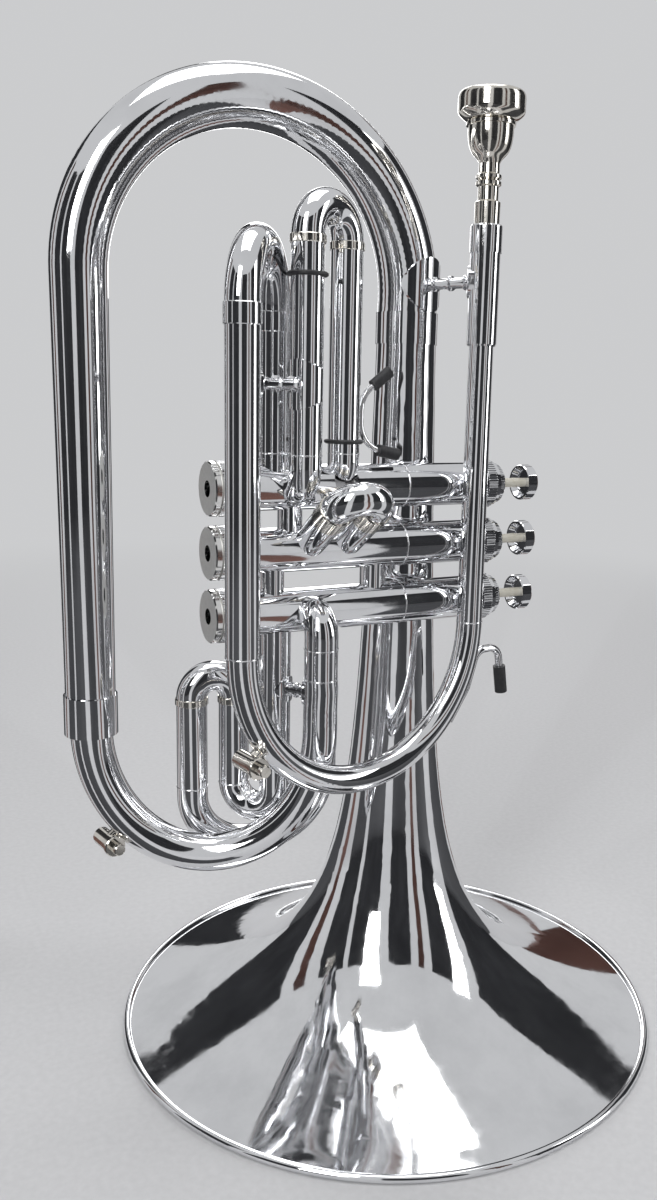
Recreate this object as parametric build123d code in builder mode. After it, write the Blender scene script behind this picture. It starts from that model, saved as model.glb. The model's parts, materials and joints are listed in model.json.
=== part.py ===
from build123d import *
from math import cos, hypot, radians, sin
import os

# Marching mellophone standing on its bell: every tube, valve, slide and brace is its own solid.

# Air path
bore = 11.68
slide_wall = 0.41
sleeve_wall = 0.40
slide_clearance = 0.05
leg_radius = bore / 2 + slide_wall
sleeve_bore_radius = leg_radius + slide_clearance
sleeve_radius = sleeve_bore_radius + sleeve_wall
port_radius = bore / 2
ferrule_wall = 0.55
tube_wall = 0.6

# Bell, mouth down on the floor, its axis on Z
rim_radius = 133.35
bead_radius = 1.8
bead_flat = 0.15
bell_throat_radius = 17.4
bell_taper = 0.0137
flare_margin = 4.35
flare_height = 90.3
flare_power = 3.25
bell_top = 339.0
bell_ferrule_length = 14.0

# Main branch that carries the bell round to the valves
branch_x = -148.0
branch_y = 0.0
top_bow_z = 353.0
top_bow_rise = 74.5
top_bow_start_radius = 13.6
top_bow_end_radius = 11.3
branch_bottom_radius = 10.3
branch_ferrule_z = 165.0
branch_ferrule_length = 17.0
branch_ferrule_wall = 0.8
branch_overlap = 6.0
lower_bow_z = 167.0
lower_bow_drop = 56.0
lower_bow_end_radius = 8.8
outlet_x = -61.5
outlet_y = -44.0
outlet_radius = 7.15
outlet_bend = 9.0
outlet_ferrule_z = 190.0
outlet_ferrule_length = 14.0

# Valves, axes along X, buttons towards +X
valve_y = -26.5
valve_mid_z = 243.8
valve_pitch = 26.4
casing_radius = 9.5
casing_wall = 1.2
casing_left = -101.5
casing_joint = -16.0
casing_right = 27.0
cap_radius = 11.2
cap_groove_radius = 10.2
bottom_cap_face = -105.2
bottom_cap_length = 8.0
bottom_cap_floor = 2.4
vent_radius = 3.4
top_cap_start = 23.6
top_cap_step = 31.6
top_cap_face = 35.0
top_cap_nose_radius = 9.0
top_cap_wall = 2.0
knuckle_radius = 5.3
knuckle_wall = 0.8
first_knuckle_x = -68.9
second_knuckle_left_x = -77.0
second_knuckle_right_x = -29.2

# Pistons and their buttons
stroke = 13.0
piston_clearance = 0.05
piston_left = -70.0
piston_right = -2.0
stem_radius = 2.1
stem_clearance = 0.35
stem_seat = 8.0
button_rim = 48.6
button_radius = 8.2
button_depth = 6.0
button_dish = 2.6
button_lip = 1.1
felt_radius = 6.0
felt_thickness = 1.4
spring_wire = 0.8
spring_radius = 6.2
spring_turns = 8

# Main tuning slide
tuning_front_x = -104.7
tuning_front_y = -65.0
tuning_rear_x = -76.5
tuning_sleeve_bottom = 209.0
tuning_sleeve_top = 333.0
tuning_ferrule_length = 8.0
tuning_insert = 44.0

# First valve slide
first_front_x = -69.0
first_front_y = -42.0
first_rear_x = -46.5
first_rear_y = -31.0
first_front_bend = 9.0
first_rear_bend = 8.0
first_rear_port_lift = 3.0
first_sleeve_top = 366.5
first_ferrule_length = 3.4
first_insert = 74.0
elbow_rise = 14.3

# Second valve slide, forward and up from its casing
second_left_x = -62.0
second_right_x = -44.5
second_tilt = 33.0
second_sleeve_end = 28.0
second_ferrule_length = 9.0
second_insert = 13.0

# Third valve slide and its fixed loop
third_left_x = -105.3
third_left_y = -4.5
third_right_x = -87.0
third_right_y = -7.8
third_front_x = -74.3
third_front_y = -24.6
third_back_x = -50.0
third_back_y = -21.0
third_sleeve_top = 173.6
third_sleeve_bottom = 135.7
third_small_bow_z = 137.0
third_big_bow_floor = 108.6
third_big_bow_near = 22.5
third_big_bow_far = 34.0
third_ferrule_length = 3.0
third_insert = 36.0

# Leadpipe, receiver and mouthpiece
lead_x = 13.7
lead_y = -42.0
lead_top_radius = 5.15
lead_bow_radius = 5.75
lead_bow_z = 209.0
lead_bow_drop = 61.5
receiver_bottom = 331.0
receiver_collar = 369.6
receiver_top = 381.0
receiver_radius = 6.4
receiver_collar_radius = 6.85
receiver_mouth_radius = 5.40
receiver_seat_z = 352.0
receiver_seat_radius = 5.0
receiver_lead_depth = 12.0
shank_clearance = 0.05
shank_bottom = 356.0
shank_length = 34.0
neck_length = 16.0
cup_height = 27.5
mouthpiece_rim_radius = 14.1
mouthpiece_cup_radius = 8.7
throat_radius = 2.1
backbore_radius = 2.6

# Braces, hooks and rubber parts
post_radius = 2.3
bead_bulge = 0.9
flange_thickness = 0.9
tuning_brace_z = 312.5
tuning_flange_radius = 10.0
receiver_brace_z = 358.0
bell_flange_radius = 11.8
receiver_flange_radius = 7.2
loop_brace_z = 183.5
loop_flange_radius = 5.6
bell_saddle_width = 12.0
bell_saddle_height = 9.0
hook_radius = 1.75
hook_bend = 6.6
hook_sleeve_radius = 2.9
hook_sleeve_length = 13.0
saddle_radius = 1.25
saddle_bend = 12.0
saddle_tip_radius = 2.6
saddle_tip_length = 10.0
bumper_wire = 0.9
front_bumper_z = 355.0
rear_bumper_z = 289.5

# Water keys: a cross barrel with a sprung push pin
key_barrel_radius = 3.9
key_barrel_length = 15.0
key_collar_radius = 4.6
key_collar_length = 1.8
key_pin_radius = 2.5
key_head_radius = 2.9
key_pin_reach = 4.6
key_clearance = 0.06
key_wall = 1.2
key_vent_radius = 0.8
key_foot_radius = 3.0
key_spring_wire = 0.45
key_spring_turns = 5
key_turn = 10.0
lead_key_angle = 217.0
lead_key_gap = 0.8
lower_key_angle = 228.0
lower_key_gap = 2.2

flare_depth = rim_radius + flare_margin - bell_throat_radius
valve_z = [valve_mid_z + valve_pitch, valve_mid_z, valve_mid_z - valve_pitch]
elbow_joint_z = valve_z[0] + elbow_rise
shank_shoulder = shank_bottom + shank_length
cup_foot = shank_shoulder + neck_length
mouthpiece_top = cup_foot + cup_height
tuning_front = Vector(tuning_front_x, tuning_front_y)
tuning_rear = Vector(tuning_rear_x, valve_y)
first_front = Vector(first_front_x, first_front_y)
first_rear = Vector(first_rear_x, first_rear_y)
outlet = Vector(outlet_x, outlet_y)
branch = Vector(branch_x, branch_y)
lead = Vector(lead_x, lead_y)
third_left = Vector(third_left_x, third_left_y)
third_right = Vector(third_right_x, third_right_y)
third_front = Vector(third_front_x, third_front_y)
third_back = Vector(third_back_x, third_back_y)
up = Vector(0, 0, 1)
away = 200.0

os.makedirs("parts", exist_ok=True)


def save(part, name):
    """Label a finished piece and write it as its own STEP."""
    part.label = name
    export_step(part, f"parts/{name}.step")
    return part


def at(spot, z):
    """A point above a plan position."""
    return Vector(spot.X, spot.Y, z)


def between(start, end, z):
    """Plane upright between two plan positions: local x from start to end, local y up."""
    along = (end - start).normalized()
    middle = (start + end) * 0.5
    return Plane(origin=at(middle, z), x_dir=along, z_dir=along.cross(up))


def half_span(start, end):
    """Half the distance between two plan positions."""
    return (end - start).length / 2


def pipe(path, radius, hole):
    """A tube of one size along a path; a hole of 0 leaves it solid."""
    with BuildPart() as body:
        with BuildSketch(Plane(origin=path @ 0, z_dir=path % 0)):
            Circle(radius)
            if hole:
                Circle(hole, mode=Mode.SUBTRACT)
        sweep(path=path)
    return body.part


def tapered(path, radius_start, radius_end, stations=7):
    """A solid whose radius changes evenly along a path."""
    with BuildPart() as body:
        for index in range(stations):
            step = index / (stations - 1)
            with BuildSketch(Plane(origin=path @ step, z_dir=path % step)):
                Circle(radius_start + (radius_end - radius_start) * step)
        loft()
    return body.part


def tapered_pipe(path, radius_start, radius_end, wall, stations=7):
    """A hollow tube whose radius changes evenly along a path."""
    with BuildPart() as body:
        add(tapered(path, radius_start, radius_end, stations))
        add(tapered(path, radius_start - wall, radius_end - wall, stations), mode=Mode.SUBTRACT)
    return body.part


def bow_path(start, end, z, rise, start_tail=0.0, end_tail=0.0):
    """Half an ellipse between two upright legs, arching up or (negative rise) down, with straight tails."""
    reach = half_span(start, end)
    sign = 1 if rise > 0 else -1
    with BuildLine(between(start, end, z)) as path:
        if start_tail:
            Line((-reach, -sign * start_tail), (-reach, 0))
        EllipticalCenterArc((0, 0), reach, abs(rise), start_angle=180, arc_size=-180 * sign)
        if end_tail:
            Line((reach, 0), (reach, -sign * end_tail))
    return path.wire()


def straight(start, end):
    """A straight path between two points."""
    with BuildLine() as path:
        Line(start, end)
    return path.wire()


def turned(profile, origin, axis):
    """A solid of revolution from (radius, height) points along an axis from an origin."""
    side = axis.cross(Vector(0, 1, 0)) if abs(axis.Y) < 0.9 else axis.cross(Vector(1, 0, 0))
    plane = Plane(origin=origin, x_dir=side, z_dir=side.cross(axis))
    with BuildPart() as body:
        with BuildSketch(plane):
            with BuildLine():
                Polyline(*profile, close=True)
            make_face()
        revolve(axis=Axis(origin, axis))
    return body.part


def ring(origin, axis, radius, hole, length):
    """A plain band along an axis."""
    return turned([(hole, 0), (radius, 0), (radius, length), (hole, length)], origin, axis)


def rod(origin, axis, radius, length):
    """A plain round bar along an axis."""
    with BuildPart() as body:
        with BuildSketch(Plane(origin=origin, z_dir=axis)):
            Circle(radius)
        extrude(amount=length)
    return body.part


def post_between(start, end, start_radius, end_radius):
    """A turned brace post with beads, from one tube's wall to another's."""
    along = (end - start).normalized()
    length = (end - start).length - start_radius - end_radius
    bead = post_radius + bead_bulge
    profile = [(0, -start_radius), (post_radius, -start_radius)]
    for share in (0.14, 0.5, 0.86):
        centre = share * length
        profile += [
            (post_radius, centre - bead_bulge),
            (bead, centre - bead_bulge / 2),
            (bead, centre + bead_bulge / 2),
            (post_radius, centre + bead_bulge),
        ]
    profile += [(post_radius, length + end_radius), (0, length + end_radius)]
    return turned(profile, start + along * start_radius, along)


def saddle_flange(tube_axis_point, tube_radius, direction, radius):
    """A round flange bent over an upright tube, on the side that faces a direction."""
    with BuildPart() as body:
        with BuildSketch(Plane(origin=tube_axis_point - up * radius * 1.5)):
            Circle(tube_radius + flange_thickness)
            Circle(tube_radius, mode=Mode.SUBTRACT)
        extrude(amount=radius * 3)
        add(rod(tube_axis_point, direction, radius, tube_radius * 2), mode=Mode.INTERSECT)
    return body.part


def cut_by(part, *cutters):
    """A part with other solids taken out of it."""
    with BuildPart() as body:
        add(part)
        for cutter in cutters:
            add(cutter, mode=Mode.SUBTRACT)
    return body.part


def casing_axis(z):
    """Left end of a valve axis, far outside the casing."""
    return Vector(-away, valve_y, z)


def casing_envelope(z):
    """The outer cylinder of a valve casing, as a cutter for what meets its wall."""
    return rod(casing_axis(z), Vector(1, 0, 0), casing_radius, away * 2)


def tube_envelope(spot, radius):
    """An upright cylinder, as a cutter for what meets an upright tube."""
    return rod(at(spot, 0), up, radius, away * 2)


def elbow(spot, z, bend, port_lift, leg_end):
    """A path down (or up) an upright leg that turns back into the front of a valve casing."""
    side = 1 if leg_end > z else -1
    corner = Plane(origin=at(spot, z + port_lift + side * bend), x_dir=(0, 1, 0), z_dir=(1, 0, 0))
    inward = valve_y - spot.Y
    with BuildLine(corner) as path:
        Line((0, leg_end - z - port_lift - side * bend), (0, 0))
        JernArc((0, 0), (0, -side), bend, side * 90)
        if inward > bend:
            Line((bend, -side * bend), (inward, -side * bend))
    return path.wire()


def bell_radius(z):
    """Outer radius of the bell at a height above the floor."""
    return bell_throat_radius - bell_taper * z + flare_depth * (1 + z / flare_height) ** -flare_power


def bell_slope(z):
    """How fast the bell's outer radius changes with height."""
    curl = (1 + z / flare_height) ** (-flare_power - 1)
    return -bell_taper - flare_depth * flare_power / flare_height * curl


def bell_inside(z):
    """Point of the bell's inner face opposite the outer point at a height."""
    lean = hypot(1, bell_slope(z))
    return (bell_radius(z) - tube_wall / lean, z + tube_wall * bell_slope(z) / lean)


# Bell and its wired rim
bead_centre_z = bead_radius - bead_flat
bead_ring_radius = rim_radius - bead_radius
with BuildPart() as rim_bead:
    with BuildSketch(Plane.XZ):
        with Locations((bead_ring_radius, bead_centre_z)):
            Circle(bead_radius)
        with Locations((bead_ring_radius, -away / 2)):
            Rectangle(4 * bead_radius, away, mode=Mode.SUBTRACT)
    revolve(axis=Axis.Z)
save(rim_bead.part, "bell_rim")

bell_stations = [bead_centre_z + (bell_top - bead_centre_z) * (step / 13) ** 2.2 for step in range(14)]
with BuildPart() as bell_shell:
    with BuildSketch(Plane.XZ):
        with BuildLine():
            outer = Spline(*[(bell_radius(z), z) for z in bell_stations])
            inner = Spline(*[bell_inside(z) for z in bell_stations])
            Line(outer @ 1, inner @ 1)
            Line(outer @ 0, inner @ 0)
        make_face()
    revolve(axis=Axis.Z)
    add(rim_bead.part, mode=Mode.SUBTRACT)
bell = save(bell_shell.part, "bell")
bell_top_radius = bell_radius(bell_top)
bell_end = Vector(0, 0, bell_top)

# Main branch: bell tube, top bow, left branch, lower bow, outlet of the third valve
bell_spot = Vector(0, 0, 0)
top_path = bow_path(bell_spot, branch, top_bow_z, top_bow_rise, start_tail=top_bow_z - bell_top)
top_bow = save(tapered_pipe(top_path, top_bow_start_radius, top_bow_end_radius, tube_wall, 19), "top_bow")
bell_ferrule_radius = max(bell_top_radius, top_bow_start_radius) + ferrule_wall
with BuildPart() as bell_sleeve:
    add(ring(bell_end - up * bell_ferrule_length / 2, up, bell_ferrule_radius, 5.0, bell_ferrule_length))
    bell_tail = rod(bell_end - up * bell_ferrule_length, up, bell_top_radius, bell_ferrule_length)
    add(bell_tail, mode=Mode.SUBTRACT)
    add(rod(bell_end, up, top_bow_start_radius, bell_ferrule_length), mode=Mode.SUBTRACT)
    add(bell_shell.part, mode=Mode.SUBTRACT)
    add(top_bow, mode=Mode.SUBTRACT)
save(bell_sleeve.part, "bell_ferrule")

branch_ferrule_top = branch_ferrule_z + branch_ferrule_length
branch_path = straight(at(branch, top_bow_z), at(branch, branch_ferrule_top - branch_overlap))
left_branch = save(
    tapered_pipe(branch_path, top_bow_end_radius, branch_bottom_radius, tube_wall, 2), "left_branch"
)
lower_path = bow_path(outlet, branch, lower_bow_z, -lower_bow_drop, outlet_ferrule_z - lower_bow_z, 4.0)
lower_bow_outline = tapered(lower_path, outlet_radius, lower_bow_end_radius, 19)
lower_bow = save(tapered_pipe(lower_path, outlet_radius, lower_bow_end_radius, tube_wall, 19), "lower_bow")
branch_sleeve_radius = branch_bottom_radius + branch_ferrule_wall
branch_sleeve = turned(
    [
        (lower_bow_end_radius - 0.2, 0),
        (branch_sleeve_radius, 0),
        (branch_sleeve_radius, branch_ferrule_length),
        (branch_bottom_radius - 0.1, branch_ferrule_length),
        (branch_bottom_radius - 0.1, branch_ferrule_length - branch_overlap),
        (lower_bow_end_radius - 0.2, branch_ferrule_length - branch_overlap),
    ],
    at(branch, branch_ferrule_z),
    up,
)
save(cut_by(branch_sleeve, left_branch, lower_bow), "branch_ferrule")

outlet_path = elbow(outlet, valve_z[2], outlet_bend, 0.0, outlet_ferrule_z + outlet_ferrule_length)
save(
    cut_by(pipe(outlet_path, outlet_radius, outlet_radius - tube_wall), casing_envelope(valve_z[2])),
    "outlet_elbow",
)
with BuildPart() as outlet_sleeve:
    outlet_foot = at(outlet, outlet_ferrule_z)
    add(ring(outlet_foot, up, outlet_radius, outlet_radius - tube_wall, outlet_ferrule_length))
    outlet_top_edges = outlet_sleeve.edges().filter_by(GeomType.CIRCLE).group_by(Axis.Z)[-1]
    fillet(outlet_top_edges.sort_by(Edge.length)[-1], 0.3)
save(outlet_sleeve.part, "outlet_ferrule")

# Valve casings with their ports, in two lengths that meet at the joint line
x_axis = Vector(1, 0, 0)
port_ends = {
    0: [(tuning_rear_x, up), (first_front_x, Vector(0, -1, 0)), (first_knuckle_x, -up)],
    1: [
        (first_knuckle_x, up),
        (second_left_x, Vector(0, -cos(radians(second_tilt)), sin(radians(second_tilt)))),
        (second_right_x, Vector(0, -cos(radians(second_tilt)), sin(radians(second_tilt)))),
        (second_knuckle_left_x, -up),
        (second_knuckle_right_x, -up),
    ],
    2: [
        (second_knuckle_left_x, up),
        (second_knuckle_right_x, up),
        (outlet_x, Vector(0, -1, 0)),
        (third_front_x, -up),
        (third_back_x, -up),
    ],
}


def port_cutters(index, reach):
    """Round holes through one valve's wall, one for each tube that meets it."""
    cutters = []
    for place, direction in port_ends[index]:
        knuckle = abs(direction.Z) == 1 and place in knuckle_places
        hole = knuckle_radius - knuckle_wall if knuckle else port_radius
        cutters.append(rod(Vector(place, valve_y, valve_z[index]), direction, hole, reach))
    if index == 0:
        centre = Vector(first_rear_x, valve_y, valve_z[0] + first_rear_port_lift)
        cutters.append(rod(centre, Vector(0, -1, 0), port_radius, reach))
    return cutters


knuckle_places = (first_knuckle_x, second_knuckle_left_x, second_knuckle_right_x)
casing_bore = casing_radius - casing_wall
casings = []
for index, z in enumerate(valve_z):
    start = Vector(casing_left, valve_y, z)
    blank = ring(start, x_axis, casing_radius, casing_bore, casing_joint - casing_left)
    bored = cut_by(blank, *port_cutters(index, casing_radius * 1.5))
    casings.append(save(bored, f"valve_casing_{index + 1}"))

with BuildPart() as sleeves:
    for z in valve_z:
        start = Vector(casing_joint, valve_y, z)
        add(ring(start, x_axis, casing_radius, casing_bore, casing_right - casing_joint))
save(sleeves.part, "casing_upper_sleeves")

knuckle_spots = [
    (first_knuckle_x, valve_z[1]),
    (second_knuckle_left_x, valve_z[2]),
    (second_knuckle_right_x, valve_z[2]),
]
with BuildPart() as knuckles:
    for place, lower in knuckle_spots:
        with BuildSketch(Plane(origin=(place, valve_y, lower))):
            Circle(knuckle_radius)
            Circle(knuckle_radius - knuckle_wall, mode=Mode.SUBTRACT)
        extrude(amount=valve_pitch)
    for z in valve_z:
        add(casing_envelope(z), mode=Mode.SUBTRACT)
save(knuckles.part, "valve_knuckles")

# Screwed caps at both ends of each valve
groove_start = bottom_cap_length * 0.3
groove_end = bottom_cap_length * 0.4
with BuildPart() as lower_caps:
    for z in valve_z:
        profile = [
            (vent_radius, 0),
            (cap_radius - 0.5, 0),
            (cap_radius, 0.5),
            (cap_radius, groove_start),
            (cap_groove_radius, groove_start),
            (cap_groove_radius, groove_end),
            (cap_radius, groove_end),
            (cap_radius, bottom_cap_length),
            (casing_radius, bottom_cap_length),
            (casing_radius, casing_left - bottom_cap_face),
            (casing_bore, casing_left - bottom_cap_face),
            (casing_bore, bottom_cap_floor),
            (vent_radius, bottom_cap_floor),
        ]
        add(turned(profile, Vector(bottom_cap_face, valve_y, z), x_axis))
save(lower_caps.part, "bottom_caps")

cap_length = top_cap_face - top_cap_start
cap_step = top_cap_step - top_cap_start
cap_band = cap_step * 0.72
nose_hole = stem_radius + stem_clearance
with BuildPart() as upper_caps:
    for z in valve_z:
        profile = [
            (casing_radius, 0),
            (cap_radius - 0.4, 0),
            (cap_radius, 0.4),
            (cap_radius, cap_band),
            (cap_groove_radius, cap_band),
            (cap_groove_radius, cap_step),
            (top_cap_nose_radius, cap_step),
            (top_cap_nose_radius, cap_length - 0.6),
            (top_cap_nose_radius - 0.6, cap_length),
            (nose_hole, cap_length),
            (nose_hole, cap_length - top_cap_wall),
            (casing_bore, cap_length - top_cap_wall),
            (casing_bore, casing_right - top_cap_start),
            (casing_radius, casing_right - top_cap_start),
        ]
        add(turned(profile, Vector(top_cap_start, valve_y, z), x_axis))
save(upper_caps.part, "top_caps")

with BuildPart() as felts:
    for z in valve_z:
        felt_start = Vector(top_cap_face, valve_y, z)
        add(ring(felt_start, x_axis, felt_radius, nose_hole, felt_thickness))
save(felts.part, "cap_felts")

# Pistons, stems and finger buttons, one set for each valve
piston_radius = casing_bore - piston_clearance
piston_length = piston_right - piston_left
spring_start = bottom_cap_face + bottom_cap_floor
spring_length = piston_left - spring_start
stem_end = button_rim + button_dish
for index, z in enumerate(valve_z):
    number = index + 1
    start = Vector(piston_left, valve_y, z)
    outline = [(0, 0), (piston_radius, 0), (piston_radius, piston_length), (0, piston_length)]
    body = turned(outline, start, x_axis)
    cutters = [
        rod(Vector(piston_right + 0.1, valve_y, z), -x_axis, stem_radius, stem_seat),
        rod(Vector(first_knuckle_x + stroke, valve_y, z - away / 2), up, port_radius - 1.2, away),
        rod(Vector(second_right_x + 1.5, valve_y - away / 2, z), Vector(0, 1, 0), port_radius - 1.2, away),
        rod(Vector(second_knuckle_right_x, valve_y, z - away / 2), up, port_radius - 1.2, away),
    ]
    save(cut_by(body, *cutters), f"piston_{number}")

    stem_start = piston_right - stem_seat + 0.1
    save(rod(Vector(stem_start, valve_y, z), x_axis, stem_radius, stem_end - stem_start), f"stem_{number}")

    dome = 1.2
    profile = [
        (0, button_dish),
        (button_radius - button_lip - 1.6, button_dish),
        (button_radius - button_lip, 0),
        (button_radius - 0.3, 0),
        (button_radius, 0.5),
        (button_radius, button_depth - dome),
        (button_radius - 0.9, button_depth - 0.3),
        (button_radius - 2.4, button_depth),
        (0, button_depth),
    ]
    save(turned(profile, Vector(button_rim, valve_y, z), x_axis), f"finger_button_{number}")

    coil_height = spring_length - spring_wire
    with BuildPart() as coil:
        with BuildLine():
            turns = Helix(
                pitch=coil_height / spring_turns,
                height=coil_height,
                radius=spring_radius,
                center=(spring_start + spring_wire / 2, valve_y, z),
                direction=(1, 0, 0),
            )
        with BuildSketch(Plane(origin=turns @ 0, z_dir=turns % 0)):
            Circle(spring_wire / 2)
        sweep(path=turns)
    save(coil.part, f"valve_spring_{number}")

# Leadpipe, receiver and the bow that leads to the tuning slide
lead_path = straight(at(lead, receiver_bottom + receiver_lead_depth), at(lead, lead_bow_z))
leadpipe = save(tapered_pipe(lead_path, lead_top_radius, lead_bow_radius, tube_wall, 2), "leadpipe")
lead_bow_path = bow_path(lead, tuning_front, lead_bow_z, -lead_bow_drop)
lead_bow_end_radius = sleeve_radius - 0.4
save(
    tapered_pipe(lead_bow_path, lead_bow_radius, lead_bow_end_radius, tube_wall, 19), "leadpipe_bow"
)
receiver_height = receiver_top - receiver_bottom
collar_start = receiver_collar - receiver_bottom
seat_start = receiver_seat_z - receiver_bottom
receiver_body = turned(
    [
        (lead_top_radius, 0),
        (receiver_radius - 0.5, 0),
        (receiver_radius, 0.8),
        (receiver_radius, collar_start),
        (receiver_collar_radius, collar_start),
        (receiver_collar_radius, receiver_height - 0.6),
        (receiver_collar_radius - 0.5, receiver_height),
        (receiver_mouth_radius, receiver_height),
        (receiver_seat_radius, seat_start),
        (lead_top_radius - tube_wall, seat_start - 1.0),
        (lead_top_radius - tube_wall, receiver_lead_depth),
        (lead_top_radius, receiver_lead_depth),
    ],
    at(lead, receiver_bottom),
    up,
)
receiver = save(cut_by(receiver_body, leadpipe), "receiver")

# Mouthpiece: rim, cup, throat and a tapered shank that slides into the receiver
shank_grow = (receiver_mouth_radius - receiver_seat_radius) / (receiver_top - receiver_seat_z)


def shank_radius(z):
    """Radius of the shank that lies just inside the receiver's taper."""
    return receiver_seat_radius + (z - receiver_seat_z) * shank_grow - shank_clearance


shank_neck_radius = 4.4
ring_out = 5.4
with BuildPart() as mouthpiece_body:
    with BuildSketch(Plane(origin=at(lead, 0), x_dir=(1, 0, 0), z_dir=(0, -1, 0))):
        with BuildLine():
            outside = Polyline(
                (backbore_radius, shank_bottom),
                (shank_radius(shank_bottom), shank_bottom),
                (shank_radius(shank_shoulder), shank_shoulder),
                (shank_neck_radius, shank_shoulder + 0.8),
                (shank_neck_radius, cup_foot - 9.8),
                (ring_out, cup_foot - 9.2),
                (ring_out, cup_foot - 7.8),
                (shank_neck_radius, cup_foot - 7.2),
                (ring_out, cup_foot - 6.4),
                (ring_out, cup_foot - 5.2),
                (shank_neck_radius, cup_foot - 4.4),
                (shank_neck_radius, cup_foot - 0.6),
            )
            cup_side = Spline(
                outside @ 1,
                (shank_neck_radius + 2.9, cup_foot + 3.2),
                (mouthpiece_cup_radius + 0.8, cup_foot + 10.4),
                (mouthpiece_cup_radius + 0.9, mouthpiece_top - 13.5),
                tangents=[(0.3, 1), (0, 1)],
            )
            rim_side = Polyline(
                cup_side @ 1,
                (mouthpiece_cup_radius + 1.7, mouthpiece_top - 13.3),
                (mouthpiece_cup_radius + 1.7, mouthpiece_top - 12.1),
                (mouthpiece_cup_radius + 1.1, mouthpiece_top - 11.6),
            )
            flare = Spline(
                rim_side @ 1,
                (mouthpiece_rim_radius - 1.1, mouthpiece_top - 9.5),
                (mouthpiece_rim_radius, mouthpiece_top - 7.4),
                tangents=[(1, 0.35), (0, 1)],
            )
            band = Line(flare @ 1, (mouthpiece_rim_radius, mouthpiece_top - 3.0))
            crown = Spline(
                band @ 1,
                (mouthpiece_rim_radius - 2.6, mouthpiece_top),
                (mouthpiece_cup_radius + 0.2, mouthpiece_top - 2.6),
                tangents=[(0, 1), (-0.25, -1)],
            )
            cup_inside = Spline(
                crown @ 1,
                (mouthpiece_cup_radius - 1.3, mouthpiece_top - 11.5),
                (throat_radius + 1.0, cup_foot + 8.4),
                (throat_radius, cup_foot + 4.0),
                tangents=[(-0.12, -1), (0, -1)],
            )
            Line(cup_inside @ 1, (throat_radius, cup_foot - 4.0))
            Line((throat_radius, cup_foot - 4.0), outside @ 0)
        make_face()
    revolve(axis=Axis(at(lead, 0), up))
mouthpiece = save(mouthpiece_body.part, "mouthpiece")

# Main tuning slide: fixed sleeves, and a crook with its two inner legs
tuning_spots = [tuning_front, tuning_rear]
with BuildPart() as tuning_tubes:
    add(ring(at(tuning_front, tuning_sleeve_bottom), up, sleeve_radius, sleeve_bore_radius,
             tuning_sleeve_top - tuning_sleeve_bottom))
    add(ring(at(tuning_rear, elbow_joint_z), up, sleeve_radius, sleeve_bore_radius,
             tuning_sleeve_top - elbow_joint_z))
save(tuning_tubes.part, "tuning_sleeves")


def slide_legs(spots, sleeve_top, ferrule_length, insert):
    """Two inner legs, each with its ferrule collar above the fixed sleeve."""
    with BuildPart() as legs:
        for spot in spots:
            profile = [
                (port_radius, -insert),
                (leg_radius, -insert),
                (leg_radius, 0),
                (sleeve_radius + ferrule_wall - 0.3, 0),
                (sleeve_radius + ferrule_wall, 0.3),
                (sleeve_radius + ferrule_wall, ferrule_length - 0.3),
                (sleeve_radius + ferrule_wall - 0.3, ferrule_length),
                (port_radius, ferrule_length),
            ]
            add(turned(profile, at(spot, sleeve_top), up))
    return legs.part


def slide_crook(spots, z):
    """The round bow that joins two slide legs."""
    path = bow_path(spots[0], spots[1], z, half_span(*spots))
    return pipe(path, sleeve_radius, port_radius)


tuning_crook_z = tuning_sleeve_top + tuning_ferrule_length
save(
    slide_legs(tuning_spots, tuning_sleeve_top, tuning_ferrule_length, tuning_insert), "tuning_slide_legs"
)
save(slide_crook(tuning_spots, tuning_crook_z), "tuning_slide_crook")

# First valve slide, upright above its casing
first_paths = [
    elbow(first_front, valve_z[0], first_front_bend, 0.0, elbow_joint_z),
    elbow(first_rear, valve_z[0], first_rear_bend, first_rear_port_lift, elbow_joint_z),
    straight(at(tuning_rear, elbow_joint_z), at(tuning_rear, valve_z[0])),
]
with BuildPart() as first_elbow_tubes:
    for path in first_paths:
        add(pipe(path, sleeve_radius, port_radius))
    add(casing_envelope(valve_z[0]), mode=Mode.SUBTRACT)
save(first_elbow_tubes.part, "first_valve_elbows")

first_spots = [first_front, first_rear]
with BuildPart() as first_tubes:
    for spot in first_spots:
        add(ring(at(spot, elbow_joint_z), up, sleeve_radius, sleeve_bore_radius,
                 first_sleeve_top - elbow_joint_z))
save(first_tubes.part, "first_slide_sleeves")
first_crook_z = first_sleeve_top + first_ferrule_length
save(
    slide_legs(first_spots, first_sleeve_top, first_ferrule_length, first_insert), "first_slide_legs"
)
save(slide_crook(first_spots, first_crook_z), "first_slide_crook")

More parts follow.
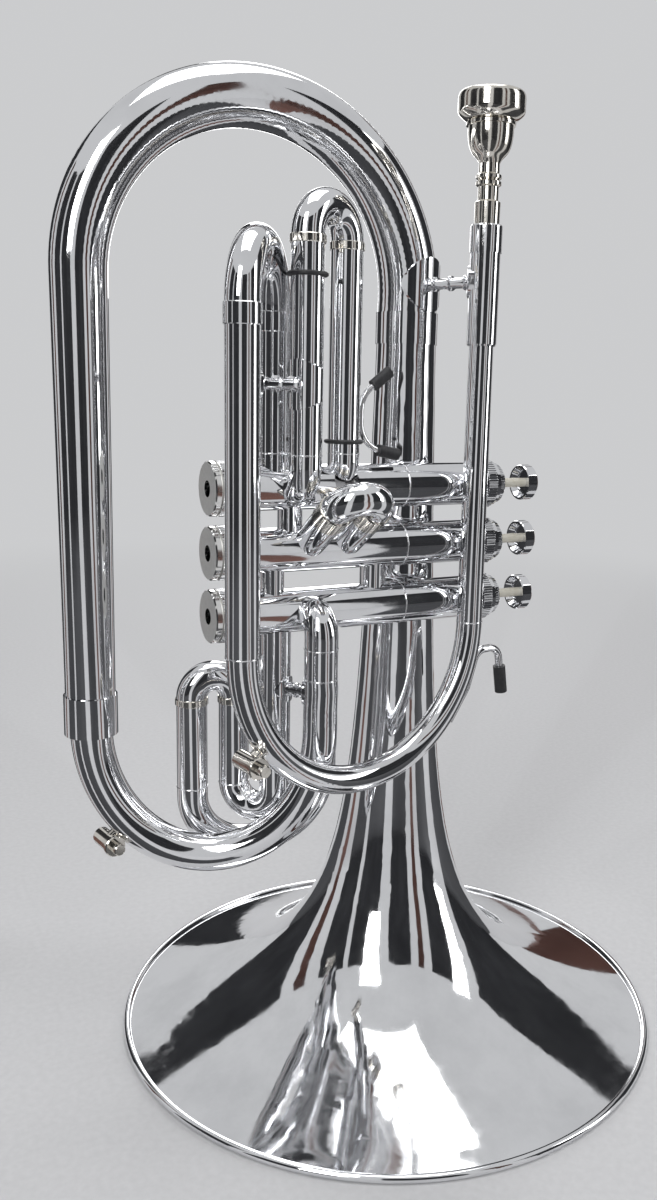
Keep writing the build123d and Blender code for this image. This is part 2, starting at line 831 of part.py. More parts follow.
# Second valve slide, tilted forward and up
second_out = Vector(0, -cos(radians(second_tilt)), sin(radians(second_tilt)))
second_roots = [Vector(place, valve_y, valve_z[1]) for place in (second_left_x, second_right_x)]
with BuildPart() as second_tubes:
    for root in second_roots:
        add(ring(root, second_out, sleeve_radius, sleeve_bore_radius, second_sleeve_end))
    add(casing_envelope(valve_z[1]), mode=Mode.SUBTRACT)
    knuckle_foot = Vector(first_knuckle_x, valve_y, valve_z[1])
    add(rod(knuckle_foot, up, knuckle_radius, valve_pitch), mode=Mode.SUBTRACT)
save(second_tubes.part, "second_slide_sleeves")
with BuildPart() as second_leg_tubes:
    for root in second_roots:
        profile = [
            (port_radius, -second_insert),
            (leg_radius, -second_insert),
            (leg_radius, 0),
            (sleeve_radius + ferrule_wall - 0.3, 0),
            (sleeve_radius + ferrule_wall, 0.3),
            (sleeve_radius + ferrule_wall, second_ferrule_length - 0.3),
            (sleeve_radius + ferrule_wall - 0.3, second_ferrule_length),
            (port_radius, second_ferrule_length),
        ]
        add(turned(profile, root + second_out * second_sleeve_end, second_out))
save(second_leg_tubes.part, "second_slide_legs")
second_reach = (second_right_x - second_left_x) / 2
second_middle = (second_roots[0] + second_roots[1]) * 0.5
second_crook_at = second_middle + second_out * (second_sleeve_end + second_ferrule_length)
with BuildLine(Plane(origin=second_crook_at, x_dir=(1, 0, 0), z_dir=x_axis.cross(second_out))) as second_bow:
    ThreePointArc((-second_reach, 0), (0, second_reach), (second_reach, 0))
save(pipe(second_bow.wire(), sleeve_radius, port_radius), "second_slide_crook")

# Third valve slide: fixed loops below the casing, and a short crook that points up
front_drop = straight(at(third_front, valve_z[2]), at(third_front, third_small_bow_z))
small_bow = bow_path(third_front, third_right, third_small_bow_z, -half_span(third_front, third_right))
with BuildPart() as front_loop:
    add(pipe(front_drop, sleeve_radius, port_radius))
    add(pipe(small_bow, sleeve_radius, port_radius))
    add(ring(at(third_right, third_small_bow_z), up, sleeve_radius, sleeve_bore_radius,
             third_sleeve_top - third_small_bow_z))
    add(casing_envelope(valve_z[2]), mode=Mode.SUBTRACT)
save(front_loop.part, "third_valve_front_loop")

big_reach = half_span(third_left, third_back)
near_z = third_big_bow_floor + third_big_bow_near
far_z = third_big_bow_floor + third_big_bow_far
with BuildLine(between(third_left, third_back, 0)) as big_path:
    Line((-big_reach, third_sleeve_bottom), (-big_reach, near_z))
    near_end = (-big_reach + third_big_bow_near, third_big_bow_floor)
    RadiusArc((-big_reach, near_z), near_end, -third_big_bow_near)
    Line(
        (-big_reach + third_big_bow_near, third_big_bow_floor),
        (big_reach - third_big_bow_far, third_big_bow_floor),
    )
    RadiusArc((big_reach - third_big_bow_far, third_big_bow_floor), (big_reach, far_z), -third_big_bow_far)
    Line((big_reach, far_z), (big_reach, valve_z[2]))
with BuildPart() as back_loop:
    add(pipe(big_path.wire(), sleeve_radius, port_radius))
    add(ring(at(third_left, third_sleeve_bottom), up, sleeve_radius, sleeve_bore_radius,
             third_sleeve_top - third_sleeve_bottom))
    add(casing_envelope(valve_z[2]), mode=Mode.SUBTRACT)
save(back_loop.part, "third_valve_back_loop")

third_spots = [third_left, third_right]
third_crook_z = third_sleeve_top + third_ferrule_length
save(
    slide_legs(third_spots, third_sleeve_top, third_ferrule_length, third_insert), "third_slide_legs"
)
save(slide_crook(third_spots, third_crook_z), "third_slide_crook")

# Braces: turned posts with a bent flange at each end
bell_tube_top = at(bell_spot, receiver_brace_z)
with BuildPart() as slide_brace:
    front_foot = at(tuning_front, tuning_brace_z)
    sleeve_foot = at(first_front, tuning_brace_z)
    toward = (sleeve_foot - front_foot).normalized()
    add(post_between(front_foot, sleeve_foot, sleeve_radius, sleeve_radius))
    add(saddle_flange(front_foot, sleeve_radius, toward, tuning_flange_radius * 0.6))
    add(saddle_flange(sleeve_foot, sleeve_radius, toward * -1, tuning_flange_radius))
    add(tube_envelope(tuning_front, sleeve_radius), mode=Mode.SUBTRACT)
    add(tube_envelope(first_front, sleeve_radius), mode=Mode.SUBTRACT)
save(slide_brace.part, "tuning_brace")

with BuildPart() as mouth_brace:
    lead_foot = at(lead, receiver_brace_z)
    toward = (lead_foot - bell_tube_top).normalized()
    add(post_between(bell_tube_top, lead_foot, top_bow_start_radius, receiver_radius))
    add(saddle_flange(bell_tube_top, top_bow_start_radius, toward, bell_flange_radius))
    add(saddle_flange(lead_foot, receiver_radius, toward * -1, receiver_flange_radius))
    add(tapered(top_path, top_bow_start_radius, top_bow_end_radius, 19), mode=Mode.SUBTRACT)
    add(tube_envelope(lead, receiver_radius), mode=Mode.SUBTRACT)
save(mouth_brace.part, "receiver_brace")

with BuildPart() as low_brace:
    loop_foot = at(third_front, loop_brace_z)
    outlet_foot = at(outlet, loop_brace_z)
    toward = (outlet_foot - loop_foot).normalized()
    add(post_between(loop_foot, outlet_foot, sleeve_radius, outlet_radius))
    add(saddle_flange(loop_foot, sleeve_radius, toward, loop_flange_radius))
    add(saddle_flange(outlet_foot, outlet_radius, toward * -1, loop_flange_radius))
    add(tube_envelope(third_front, sleeve_radius), mode=Mode.SUBTRACT)
    add(lower_bow_outline, mode=Mode.SUBTRACT)
save(low_brace.part, "loop_brace")

# Saddles that carry the three valves on the bell tube
with BuildPart() as bell_core:
    with BuildSketch(Plane.XZ):
        with BuildLine():
            side = Spline(*[(bell_radius(z), z) for z in bell_stations])
            Polyline(side @ 1, (0, bell_top), (0, bead_centre_z), side @ 0)
        make_face()
    revolve(axis=Axis.Z)
with BuildPart() as saddles:
    for z in valve_z:
        with BuildSketch(Plane(origin=(0, valve_y + casing_radius, z - bell_saddle_height / 2))):
            Rectangle(bell_saddle_width, casing_radius)
        extrude(amount=bell_saddle_height)
        add(casing_envelope(z), mode=Mode.SUBTRACT)
    add(bell_core.part, mode=Mode.SUBTRACT)
save(saddles.part, "bell_saddles")

# Thumb saddle beside the first valve slide
saddle_plane = Plane(origin=(0, first_rear_y, 0), x_dir=(1, 0, 0), z_dir=(0, -1, 0))
saddle_side = first_rear_x + sleeve_radius + saddle_radius
saddle_points = [
    (saddle_side + 12.6, front_bumper_z - 36.5),
    (saddle_side, front_bumper_z - 46.5),
    (saddle_side, front_bumper_z - 67.5),
    (saddle_side + 17.4, front_bumper_z - 71.0),
]
with BuildLine(saddle_plane) as saddle_line:
    FilletPolyline(*saddle_points, radius=saddle_bend)
saddle_path = saddle_line.wire()
saddle_rod = pipe(saddle_path, saddle_radius, 0)
save(cut_by(saddle_rod, tube_envelope(first_rear, sleeve_radius)), "thumb_saddle")

# Finger hook on the leadpipe bow
lead_bow_middle = (lead + tuning_front) * 0.5
lead_bow_reach = half_span(lead, tuning_front)
lead_bow_outline = tapered(lead_bow_path, lead_bow_radius, lead_bow_end_radius, 19)
hook_plane = Plane(
    origin=at(lead_bow_middle, lead_bow_z),
    x_dir=(lead - tuning_front).normalized(),
    z_dir=(lead - tuning_front).normalized().cross(up),
)
hook_foot = (lead_bow_reach * 0.83, -45.6)
hook_points = [
    hook_foot,
    (lead_bow_reach - 0.1, -31.5),
    (lead_bow_reach + 5.6, -14.5),
    (lead_bow_reach + 19.4, -14.5),
    (lead_bow_reach + 23.0, -36.0),
]
with BuildLine(hook_plane) as hook_line:
    FilletPolyline(*hook_points, radius=hook_bend)
hook_path = hook_line.wire()
hook_rod = pipe(hook_path, hook_radius, 0)
save(cut_by(hook_rod, lead_bow_outline), "finger_hook")

# Rubber sleeves on the free ends of the saddle and the hook
rod_ends = [
    (saddle_path @ 0, (saddle_path % 0) * -1, saddle_tip_radius, saddle_tip_length),
    (saddle_path @ 1, saddle_path % 1, saddle_tip_radius, saddle_tip_length),
    (hook_path @ 1, hook_path % 1, hook_sleeve_radius, hook_sleeve_length),
]
with BuildPart() as sleeves_of_rubber:
    for end, outward, radius, length in rod_ends:
        add(rod(end + outward, outward * -1, radius, length))
    add(saddle_rod, mode=Mode.SUBTRACT)
    add(hook_rod, mode=Mode.SUBTRACT)
save(sleeves_of_rubber.part, "rubber_sleeves")

# Rubber bumper rings on the first slide's sleeves
with BuildPart() as rubber_rings:
    for spot, z in ((first_front, front_bumper_z), (first_rear, rear_bumper_z)):
        profile = [
            (sleeve_radius, -bumper_wire),
            (sleeve_radius + bumper_wire, -bumper_wire),
            (sleeve_radius + bumper_wire * 1.8, -bumper_wire * 0.4),
            (sleeve_radius + bumper_wire * 1.8, bumper_wire * 0.4),
            (sleeve_radius + bumper_wire, bumper_wire),
            (sleeve_radius, bumper_wire),
        ]
        add(turned(profile, at(spot, z), up))
save(rubber_rings.part, "bumper_rings")

# Water keys on the two low bows
key_axis = Vector(sin(radians(key_turn)), -cos(radians(key_turn)), 0)


def key_seat(start, end, z, rise, angle, offset):
    """Centre of a key barrel outside a bow, and the bow's centre-line point behind it."""
    middle = (start + end) * 0.5
    along = (start - end).normalized()
    reach = half_span(start, end)
    foot = at(middle + along * reach * cos(radians(angle)), z + rise * sin(radians(angle)))
    lean = Vector(cos(radians(angle)) / reach, sin(radians(angle)) / rise)
    lean = lean.normalized()
    return foot + along * lean.X * offset + up * lean.Y * offset, foot


lower_key_radius = (outlet_radius + lower_bow_end_radius) / 2
key_seats = [
    key_seat(lead, tuning_front, lead_bow_z, lead_bow_drop, lead_key_angle,
             lead_bow_end_radius + key_barrel_radius + lead_key_gap),
    key_seat(outlet, branch, lower_bow_z, lower_bow_drop, lower_key_angle,
             lower_key_radius + key_barrel_radius + lower_key_gap),
]
key_bore = key_head_radius + key_clearance
key_front = key_barrel_length / 2
head_front = key_front - key_wall
head_back = head_front - 2.4
spring_floor = -key_front + key_wall
with BuildPart() as barrels:
    for centre, foot in key_seats:
        add(rod(centre, (foot - centre).normalized(), key_foot_radius, (foot - centre).length))
    for centre, foot in key_seats:
        profile = [
            (0, -key_front),
            (key_barrel_radius - 0.5, -key_front),
            (key_barrel_radius, -key_front + 0.5),
            (key_barrel_radius, key_front - key_collar_length),
            (key_collar_radius, key_front - key_collar_length),
            (key_collar_radius, key_front - 0.4),
            (key_collar_radius - 0.4, key_front),
            (0, key_front),
        ]
        add(turned(profile, centre, key_axis))
        hollow = [
            (0, -key_front - 1),
            (key_vent_radius, -key_front - 1),
            (key_vent_radius, spring_floor),
            (key_bore, spring_floor),
            (key_bore, head_front),
            (key_pin_radius + key_clearance, head_front),
            (key_pin_radius + key_clearance, key_front + 1),
            (0, key_front + 1),
        ]
        add(turned(hollow, centre, key_axis), mode=Mode.SUBTRACT)
    for outline in (lead_bow_outline, lower_bow_outline):
        add(outline, mode=Mode.SUBTRACT)
save(barrels.part, "water_key_barrels")

coil_start = spring_floor + key_spring_wire / 2
coil_height = head_back - key_spring_wire - spring_floor
for name, (centre, foot) in zip(("tuning", "bow"), key_seats):
    profile = [
        (0, head_back),
        (key_head_radius, head_back),
        (key_head_radius, head_front),
        (key_pin_radius, head_front),
        (key_pin_radius, key_front + key_pin_reach - 0.4),
        (key_pin_radius - 0.4, key_front + key_pin_reach),
        (0, key_front + key_pin_reach),
    ]
    save(turned(profile, centre, key_axis), f"water_key_pin_{name}")
    with BuildPart() as key_coil:
        with BuildLine():
            turns = Helix(
                pitch=coil_height / key_spring_turns,
                height=coil_height,
                radius=key_head_radius - 0.7,
                center=centre + key_axis * coil_start,
                direction=key_axis,
            )
        with BuildSketch(Plane(origin=turns @ 0, z_dir=turns % 0)):
            Circle(key_spring_wire / 2)
        sweep(path=turns)
    save(key_coil.part, f"water_key_spring_{name}")
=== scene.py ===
"""Marching mellophone on a pale studio floor."""
from math import cos, radians, sin, tau
import json

import bpy
from mathutils import Matrix, Vector


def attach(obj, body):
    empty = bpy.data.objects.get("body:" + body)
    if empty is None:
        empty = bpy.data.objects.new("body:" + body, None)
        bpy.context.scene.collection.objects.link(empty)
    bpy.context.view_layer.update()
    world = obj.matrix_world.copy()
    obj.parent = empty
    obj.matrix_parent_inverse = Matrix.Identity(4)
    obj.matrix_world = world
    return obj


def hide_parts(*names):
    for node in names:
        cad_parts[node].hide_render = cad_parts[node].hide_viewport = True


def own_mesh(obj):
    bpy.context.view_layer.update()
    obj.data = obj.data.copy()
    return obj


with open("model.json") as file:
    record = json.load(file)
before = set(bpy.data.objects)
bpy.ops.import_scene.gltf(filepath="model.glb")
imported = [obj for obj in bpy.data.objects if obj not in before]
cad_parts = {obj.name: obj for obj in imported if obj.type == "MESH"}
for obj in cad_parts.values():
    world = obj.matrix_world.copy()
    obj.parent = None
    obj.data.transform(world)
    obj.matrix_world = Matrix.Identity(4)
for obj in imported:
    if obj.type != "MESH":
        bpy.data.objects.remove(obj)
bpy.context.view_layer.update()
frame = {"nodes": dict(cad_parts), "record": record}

# Camera, from the photograph
CAMERA_SPOT = Vector((-0.24543, -0.43357, 0.31195))
CAMERA_YAW = 29.05
CAMERA_PITCH = 11.38
CAMERA_ROLL = 1.66
FOCAL_LENGTH = 31.5
SHIFT_X = -0.05125

# Studio
FLOOR_RADIUS = 9.0
FADE_START = 0.45
FADE_END = 1.7
WALL_COLOUR = (0.60, 0.605, 0.615)
ROOM_STRENGTH = 0.55


def principled(name):
    """A new node material; returns the material, its tree and its shader."""
    material = bpy.data.materials.new(name)
    material.use_nodes = True
    shader = material.node_tree.nodes["Principled BSDF"]
    return material, material.node_tree, shader


def noise(tree, scale, detail=4.0, roughness=0.5):
    """Noise in object space, in features per metre."""
    coords = tree.nodes.new("ShaderNodeTexCoord")
    texture = tree.nodes.new("ShaderNodeTexNoise")
    texture.inputs["Scale"].default_value = scale
    texture.inputs["Detail"].default_value = detail
    texture.inputs["Roughness"].default_value = roughness
    tree.links.new(coords.outputs["Object"], texture.inputs["Vector"])
    return texture.outputs["Fac"]


def ramp(tree, value, stops):
    """Colour ramp over a value: (position, colour) pairs."""
    node = tree.nodes.new("ShaderNodeValToRGB")
    points = node.color_ramp.elements
    while len(points) < len(stops):
        points.new(0.5)
    for point, (position, colour) in zip(points, stops):
        point.position = position
        point.color = (*colour, 1.0)
    tree.links.new(value, node.inputs["Fac"])
    return node.outputs["Color"]


def spread(tree, value, low, high, from_low=0.3, from_high=0.7):
    """Map a noise value onto a range."""
    node = tree.nodes.new("ShaderNodeMapRange")
    node.inputs["From Min"].default_value = from_low
    node.inputs["From Max"].default_value = from_high
    node.inputs["To Min"].default_value = low
    node.inputs["To Max"].default_value = high
    tree.links.new(value, node.inputs["Value"])
    return node.outputs["Result"]


def bump(tree, shader, height, strength, distance):
    """Bump from a height value."""
    node = tree.nodes.new("ShaderNodeBump")
    node.inputs["Strength"].default_value = strength
    node.inputs["Distance"].default_value = distance
    tree.links.new(height, node.inputs["Height"])
    tree.links.new(node.outputs["Normal"], shader.inputs["Normal"])


def metal(name, bright, dull, rough_low, rough_high):
    """Polished metal with faint smudges, tarnish and a hand-buffed surface."""
    material, tree, shader = principled(name)
    shader.inputs["Metallic"].default_value = 1.0
    smudge = noise(tree, 26.0, 6.0, 0.62)
    tree.links.new(ramp(tree, smudge, [(0.36, dull), (0.60, bright)]), shader.inputs["Base Color"])
    fine = noise(tree, 160.0, 5.0, 0.6)
    tree.links.new(spread(tree, fine, rough_low, rough_high), shader.inputs["Roughness"])
    bump(tree, shader, noise(tree, 38.0, 2.0, 0.4), 0.35, BUFFING_DEPTH)
    return material


BUFFING_DEPTH = 0.00002
silver = metal("silver_plate", (0.86, 0.865, 0.88), (0.77, 0.775, 0.79), 0.025, 0.085)
nickel = metal("nickel_silver", (0.82, 0.79, 0.73), (0.71, 0.68, 0.62), 0.07, 0.15)
piston_steel = metal("lapped_steel", (0.66, 0.66, 0.67), (0.58, 0.58, 0.59), 0.18, 0.26)
spring_wire = metal("spring_wire", (0.60, 0.61, 0.63), (0.50, 0.51, 0.53), 0.22, 0.30)

rubber, rubber_tree, rubber_shader = principled("black_rubber")
rubber_grain = noise(rubber_tree, 900.0, 3.0, 0.6)
rubber_stops = [(0.3, (0.012, 0.012, 0.014)), (0.75, (0.032, 0.032, 0.035))]
rubber_tint = ramp(rubber_tree, rubber_grain, rubber_stops)
rubber_tree.links.new(rubber_tint, rubber_shader.inputs["Base Color"])
rubber_tree.links.new(spread(rubber_tree, rubber_grain, 0.38, 0.55), rubber_shader.inputs["Roughness"])
bump(rubber_tree, rubber_shader, rubber_grain, 0.25, 0.00008)

stem, stem_tree, stem_shader = principled("cream_stem")
stem_grain = noise(stem_tree, 420.0, 4.0, 0.6)
stem_tint = ramp(stem_tree, stem_grain, [(0.3, (0.70, 0.665, 0.56)), (0.7, (0.80, 0.775, 0.69))])
stem_tree.links.new(stem_tint, stem_shader.inputs["Base Color"])
stem_tree.links.new(spread(stem_tree, stem_grain, 0.28, 0.42), stem_shader.inputs["Roughness"])

felt, felt_tree, felt_shader = principled("cap_felt")
felt_grain = noise(felt_tree, 2600.0, 4.0, 0.7)
felt_tint = ramp(felt_tree, felt_grain, [(0.3, (0.035, 0.035, 0.04)), (0.7, (0.09, 0.09, 0.10))])
felt_tree.links.new(felt_tint, felt_shader.inputs["Base Color"])
felt_shader.inputs["Roughness"].default_value = 0.95
bump(felt_tree, felt_shader, felt_grain, 0.6, 0.0003)

# Bottom caps: mirror sides, faces with a fine matt brushing
caps, caps_tree, caps_shader = principled("brushed_cap_face")
caps_shader.inputs["Metallic"].default_value = 1.0
caps_grain = noise(caps_tree, 700.0, 5.0, 0.7)
caps_tint = ramp(caps_tree, caps_grain, [(0.3, (0.80, 0.795, 0.775)), (0.7, (0.88, 0.875, 0.86))])
caps_tree.links.new(caps_tint, caps_shader.inputs["Base Color"])
facing = caps_tree.nodes.new("ShaderNodeNewGeometry")
facing_split = caps_tree.nodes.new("ShaderNodeSeparateXYZ")
caps_tree.links.new(facing.outputs["Normal"], facing_split.inputs["Vector"])
matt = spread(caps_tree, facing_split.outputs["X"], 0.62, 0.08, -0.97, -0.80)
caps_tree.links.new(matt, caps_shader.inputs["Roughness"])

FINISHES = {
    "chrome_plate": silver,
    "nickel_silver": nickel,
    "black_rubber": rubber,
    "valve_steel": piston_steel,
    "cream_stem": stem,
    "cap_felt": felt,
    "spring_steel": spring_wire,
}
slots = {part["node"]: part["material_slot"] for part in frame["record"]["subparts"]}
for node, obj in frame["nodes"].items():
    obj.data.materials.clear()
    obj.data.materials.append(caps if node == "bottom_caps" else FINISHES[slots[node]])

# Fine work on the tubes and caps, in metres
VALVE_Y = -0.0265
VALVE_HEIGHTS = (0.2702, 0.2438, 0.2174)
CASING_JOINT_X = -0.0160
CASING_RADIUS = 0.0095
SLIDE_RADIUS = 0.00670
LEADPIPE_RADIUS = 0.00575
OUTLET_RADIUS = 0.00718
BEAD = 0.00022
BEAD_SIDES = 8
BEAD_STEPS = 64
REED_DEPTH = 0.00022
REEDS = 60
COIL_STEPS = 28
WIRE_SIDES = 10
KEY_TURN = radians(10.0)
ACROSS = Vector((1.0, 0.0, 0.0))
UP = Vector((0.0, 0.0, 1.0))
KEY_AXIS = Vector((sin(KEY_TURN), -cos(KEY_TURN), 0.0))


def new_piece(name, verts, faces, material, slot, body):
    """A smooth-shaded mesh that rides on a body."""
    mesh = bpy.data.meshes.new(name)
    mesh.from_pydata(verts, [], faces)
    mesh.validate()
    mesh.shade_smooth()
    obj = bpy.data.objects.new(name, mesh)
    bpy.context.collection.objects.link(obj)
    mesh.materials.append(material)
    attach(obj, body)
    return obj


def around_axis(centre, axis, rings, steps):
    """Closed surface about an axis: each ring is a radius, or a function of the step, and a height."""
    side = axis.orthogonal().normalized()
    other = axis.cross(side)
    verts = []
    for radius, along in rings:
        for step in range(steps):
            turn = tau * step / steps
            reach = radius(step) if callable(radius) else radius
            verts.append(centre + axis * along + (side * cos(turn) + other * sin(turn)) * reach)
    faces = []
    count = len(rings)
    for index in range(count):
        near, far = index * steps, (index + 1) % count * steps
        for step in range(steps):
            after = (step + 1) % steps
            faces.append((near + step, near + after, far + after, far + step))
    return verts, faces


def joined(parts):
    """One vertex and face list from several."""
    verts, faces = [], []
    for more_verts, more_faces in parts:
        offset = len(verts)
        verts += more_verts
        faces += [tuple(offset + index for index in face) for face in more_faces]
    return verts, faces


def bead(centre, axis, radius):
    """A fine raised solder line round a tube."""
    rings = []
    for step in range(BEAD_SIDES):
        turn = tau * step / BEAD_SIDES
        rings.append((radius + BEAD * 0.3 + BEAD * cos(turn), BEAD * sin(turn) * 1.4))
    return around_axis(centre, axis, rings, BEAD_STEPS)


bead_spots = [
    ((-0.0690, -0.0420, 0.2845), UP, SLIDE_RADIUS),
    ((-0.0465, -0.0310, 0.2845), UP, SLIDE_RADIUS),
    ((-0.0765, VALVE_Y, 0.2845), UP, SLIDE_RADIUS),
    ((-0.1047, -0.0650, 0.2092), UP, SLIDE_RADIUS),
    ((0.0137, -0.0420, 0.2090), UP, LEADPIPE_RADIUS),
    ((-0.1053, -0.0045, 0.1357), UP, SLIDE_RADIUS),
    ((-0.0870, -0.0078, 0.1365), UP, SLIDE_RADIUS),
    ((-0.0615, -0.0440, 0.2036), UP, OUTLET_RADIUS),
    ((-0.0615, -0.0440, 0.1905), UP, OUTLET_RADIUS),
]
for height in VALVE_HEIGHTS:
    bead_spots.append(((CASING_JOINT_X, VALVE_Y, height), ACROSS, CASING_RADIUS))
lines = joined([bead(Vector(spot), axis, radius) for spot, axis, radius in bead_spots])
new_piece("solder_lines", *lines, silver, "chrome_plate", "horn")


def reeded(start, length, radius):
    """The rings of a band with fine ridges along the valve axis, for four steps a ridge."""
    def crest(step):
        return radius if step % 4 in (1, 2) else radius - REED_DEPTH

    def shoulder(step):
        return crest(step) - REED_DEPTH * 0.8

    foot = radius - REED_DEPTH * 2.5
    return [
        (foot, start),
        (shoulder, start),
        (crest, start + REED_DEPTH),
        (crest, start + length - REED_DEPTH),
        (shoulder, start + length),
        (foot, start + length),
    ]


# Start along the valve, length and radius: top cap's skirt, its collar, bottom cap
BANDS = [
    (0.0243, 0.0048, 0.01140),
    (0.0322, 0.0020, 0.00915),
    (-0.1019, 0.0044, 0.01138),
]
cap_bands = []
for height in VALVE_HEIGHTS:
    axis_spot = Vector((0.0, VALVE_Y, height))
    for start, length, radius in BANDS:
        cap_bands.append(around_axis(axis_spot, ACROSS, reeded(start, length, radius), REEDS * 4))
knurls = new_piece("cap_knurling", *joined(cap_bands), silver, "chrome_plate", "horn")
knurls.data.shade_flat()


def coil(node, axis, wire, turns):
    """A wound spring where the CAD one stands."""
    points = [Vector(vert.co) for vert in frame["nodes"][node].data.vertices]
    side = axis.orthogonal().normalized()
    other = axis.cross(side)
    spans = []
    for direction in (axis, side, other):
        reach = [point.dot(direction) for point in points]
        spans.append((min(reach), max(reach)))
    low, high = spans[0]
    core = side * sum(spans[1]) / 2 + other * sum(spans[2]) / 2
    radius = (spans[1][1] - spans[1][0] - wire) / 2
    rise = high - low - wire
    verts = []
    count = turns * COIL_STEPS + 1
    for index in range(count):
        angle = tau * index / COIL_STEPS
        outward = side * cos(angle) + other * sin(angle)
        centre = core + axis * (low + wire / 2 + rise * index / (count - 1)) + outward * radius
        for step in range(WIRE_SIDES):
            turn = tau * step / WIRE_SIDES
            verts.append(centre + (outward * cos(turn) + axis * sin(turn)) * wire / 2)
    faces = []
    for index in range(count - 1):
        near = index * WIRE_SIDES
        for step in range(WIRE_SIDES):
            after = (step + 1) % WIRE_SIDES
            faces.append((near + step, near + WIRE_SIDES + step, near + WIRE_SIDES + after, near + after))
    faces.append(tuple(range(WIRE_SIDES)))
    faces.append(tuple(reversed(range((count - 1) * WIRE_SIDES, count * WIRE_SIDES))))
    piece = new_piece(node + "_coil", verts, faces, spring_wire, "spring_steel", "horn")
    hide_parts(node)
    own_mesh(piece)


for number in (1, 2, 3):
    coil(f"valve_spring_{number}", ACROSS, wire=0.0008, turns=8)
for name in ("tuning", "bow"):
    coil(f"water_key_spring_{name}", KEY_AXIS, wire=0.00045, turns=5)


def seen_rays(tree):
    """1 for rays from the camera, from metal and through glass, otherwise 0."""
    rays = tree.nodes.new("ShaderNodeLightPath")
    total = rays.outputs["Is Camera Ray"]
    for name in ("Is Glossy Ray", "Is Transmission Ray"):
        node = tree.nodes.new("ShaderNodeMath")
        node.operation = "MAXIMUM"
        tree.links.new(total, node.inputs[0])
        tree.links.new(rays.outputs[name], node.inputs[1])
        total = node.outputs["Value"]
    return total


# Floor, which fades into the backdrop's colour far from the object
bpy.ops.mesh.primitive_circle_add(vertices=128, radius=FLOOR_RADIUS, fill_type="NGON")
floor = bpy.context.object
floor.name = "studio_floor"
paper, paper_tree, paper_shader = principled("studio_paper")
paper_grain = noise(paper_tree, 300.0, 3.0, 0.5)
paper_tint = ramp(paper_tree, paper_grain, [(0.3, (0.56, 0.56, 0.57)), (0.7, (0.60, 0.60, 0.61))])
paper_tree.links.new(paper_tint, paper_shader.inputs["Base Color"])
paper_shader.inputs["Roughness"].default_value = 0.85
place = paper_tree.nodes.new("ShaderNodeTexCoord")
distance = paper_tree.nodes.new("ShaderNodeVectorMath")
distance.operation = "LENGTH"
paper_tree.links.new(place.outputs["Object"], distance.inputs[0])
fade = paper_tree.nodes.new("ShaderNodeMapRange")
fade.interpolation_type = "SMOOTHSTEP"
fade.inputs["From Min"].default_value = FADE_START
fade.inputs["From Max"].default_value = FADE_END
paper_tree.links.new(distance.outputs["Value"], fade.inputs["Value"])
gate = paper_tree.nodes.new("ShaderNodeMath")
gate.operation = "MULTIPLY"
paper_tree.links.new(fade.outputs["Result"], gate.inputs[0])
paper_tree.links.new(seen_rays(paper_tree), gate.inputs[1])
backdrop = paper_tree.nodes.new("ShaderNodeEmission")
backdrop.inputs["Color"].default_value = (*WALL_COLOUR, 1.0)
paper_mix = paper_tree.nodes.new("ShaderNodeMixShader")
paper_tree.links.new(gate.outputs["Value"], paper_mix.inputs["Fac"])
paper_tree.links.new(paper_shader.outputs["BSDF"], paper_mix.inputs[1])
paper_tree.links.new(backdrop.outputs["Emission"], paper_mix.inputs[2])
paper_tree.links.new(paper_mix.outputs["Shader"], paper_tree.nodes["Material Output"].inputs["Surface"])
floor.data.materials.append(paper)

# Soft pale light all round
world = bpy.data.worlds.new("studio")
world.use_nodes = True
bpy.context.scene.world = world
sky = world.node_tree
sky.nodes.clear()
room = sky.nodes.new("ShaderNodeBackground")
room.inputs["Color"].default_value = (*WALL_COLOUR, 1.0)
room.inputs["Strength"].default_value = ROOM_STRENGTH
plain = sky.nodes.new("ShaderNodeBackground")
plain.inputs["Color"].default_value = (*WALL_COLOUR, 1.0)
mix = sky.nodes.new("ShaderNodeMixShader")
output = sky.nodes.new("ShaderNodeOutputWorld")
sky.links.new(seen_rays(sky), mix.inputs["Fac"])
sky.links.new(room.outputs["Background"], mix.inputs[1])
sky.links.new(plain.outputs["Background"], mix.inputs[2])
sky.links.new(mix.outputs["Shader"], output.inputs["Surface"])

# Dark cards that only the metal sees, as painted dark grey and warm brown reflections: they stand round
# the set and reach in along the floor, out of view
CARD_DISTANCE = 2.1
CARD_HEIGHT = 1.9
CARD_FOOT = 0.002
STRIP_START = 0.2
# Tone, bearing from the front and width in degrees
REFLECTION_CARDS = [
    ("grey", -62.0, 34.0),
    ("grey", -14.0, 30.0),
    ("brown", 14.0, 7.0),
    ("grey", 40.0, 26.0),
    ("grey", 92.0, 40.0),
    ("brown", 128.0, 9.0),
    ("grey", 158.0, 34.0),
    ("grey", 205.0, 30.0),
    ("brown", 233.0, 8.0),
    ("grey", 262.0, 26.0),
]
# Colours of the painted reflections: dark grey streaks and a few warm brown ones
REFLECTION_TONES = [
    ("grey", (0.030, 0.031, 0.035), (0.050, 0.051, 0.056)),
    ("brown", (0.10, 0.045, 0.035), (0.15, 0.07, 0.055)),
]
CARD_EDGE = [(STRIP_START, CARD_FOOT), (CARD_DISTANCE, CARD_FOOT), (CARD_DISTANCE, CARD_HEIGHT)]
reflection_finishes = {}
for tone, low, high in REFLECTION_TONES:
    reflection_card, reflection_tree, reflection_shader = principled("card_" + tone)
    reflection_tint = ramp(reflection_tree, noise(reflection_tree, 2.0), [(0.35, low), (0.65, high)])
    reflection_tree.links.new(reflection_tint, reflection_shader.inputs["Base Color"])
    reflection_shader.inputs["Roughness"].default_value = 0.9
    reflection_finishes[tone] = reflection_card
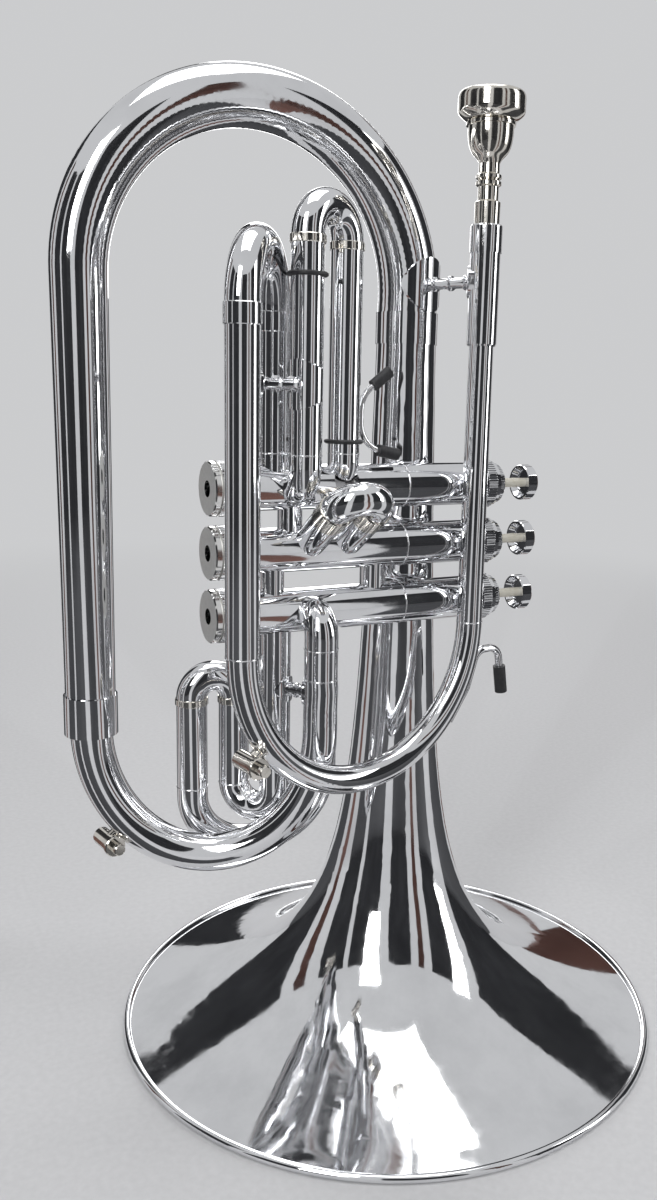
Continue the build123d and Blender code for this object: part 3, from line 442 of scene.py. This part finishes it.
for number, (tone, bearing, width) in enumerate(REFLECTION_CARDS):
    verts = []
    for reach, height in CARD_EDGE:
        for edge in (-0.5, 0.5):
            angle = radians(bearing + edge * width)
            verts.append(Vector((sin(angle), -cos(angle), 0.0)) * reach + UP * height)
    mesh = bpy.data.meshes.new(f"painted_reflection_card_{number + 1}")
    mesh.from_pydata(verts, [], [(0, 1, 3, 2), (2, 3, 5, 4)])
    mesh.materials.append(reflection_finishes[tone])
    obj = bpy.data.objects.new(mesh.name, mesh)
    bpy.context.collection.objects.link(obj)
    # Hidden from the camera, from diffuse light and from shadows: each card shows only as a painted
    # reflection in the metal
    obj.visible_camera = False
    obj.visible_diffuse = False
    obj.visible_shadow = False


def soft_box(name, spot, target, width, height, power):
    """A rectangular area lamp that faces a point."""
    lamp = bpy.data.lights.new(name, "AREA")
    lamp.shape = "RECTANGLE"
    lamp.size = width
    lamp.size_y = height
    lamp.energy = power
    obj = bpy.data.objects.new(name, lamp)
    bpy.context.collection.objects.link(obj)
    obj.location = spot
    obj.rotation_euler = (Vector(target) - Vector(spot)).to_track_quat("-Z", "Y").to_euler()


MIDDLE = (-0.06, 0.0, 0.22)
soft_box("key", (-1.1, -0.9, 1.1), MIDDLE, 0.5, 1.1, 12.0)
soft_box("fill", (1.2, -0.8, 0.7), MIDDLE, 0.30, 1.2, 6.0)
soft_box("top", (0.0, 0.1, 1.7), MIDDLE, 1.0, 1.0, 9.0)
soft_box("back", (0.5, 1.2, 0.9), MIDDLE, 0.4, 1.0, 5.0)

# Camera
yaw = radians(CAMERA_YAW)
pitch = radians(CAMERA_PITCH)
roll = radians(CAMERA_ROLL)
forward = Vector((sin(yaw) * cos(pitch), cos(yaw) * cos(pitch), -sin(pitch)))
level = Vector((cos(yaw), -sin(yaw), 0.0))
upright = level.cross(forward)
right = level * cos(roll) + upright * sin(roll)
above = upright * cos(roll) - level * sin(roll)
camera_data = bpy.data.cameras.new("camera")
camera_data.lens = FOCAL_LENGTH
camera_data.sensor_width = 36.0
camera_data.sensor_fit = "AUTO"
camera_data.shift_x = SHIFT_X
camera_data.clip_start = 0.01
camera = bpy.data.objects.new("camera", camera_data)
bpy.context.collection.objects.link(camera)
turn = Matrix((right, above, -forward)).transposed()
camera.matrix_world = Matrix.Translation(CAMERA_SPOT) @ turn.to_4x4()
bpy.context.scene.camera = camera
bpy.context.scene.view_settings.view_transform = "Standard"
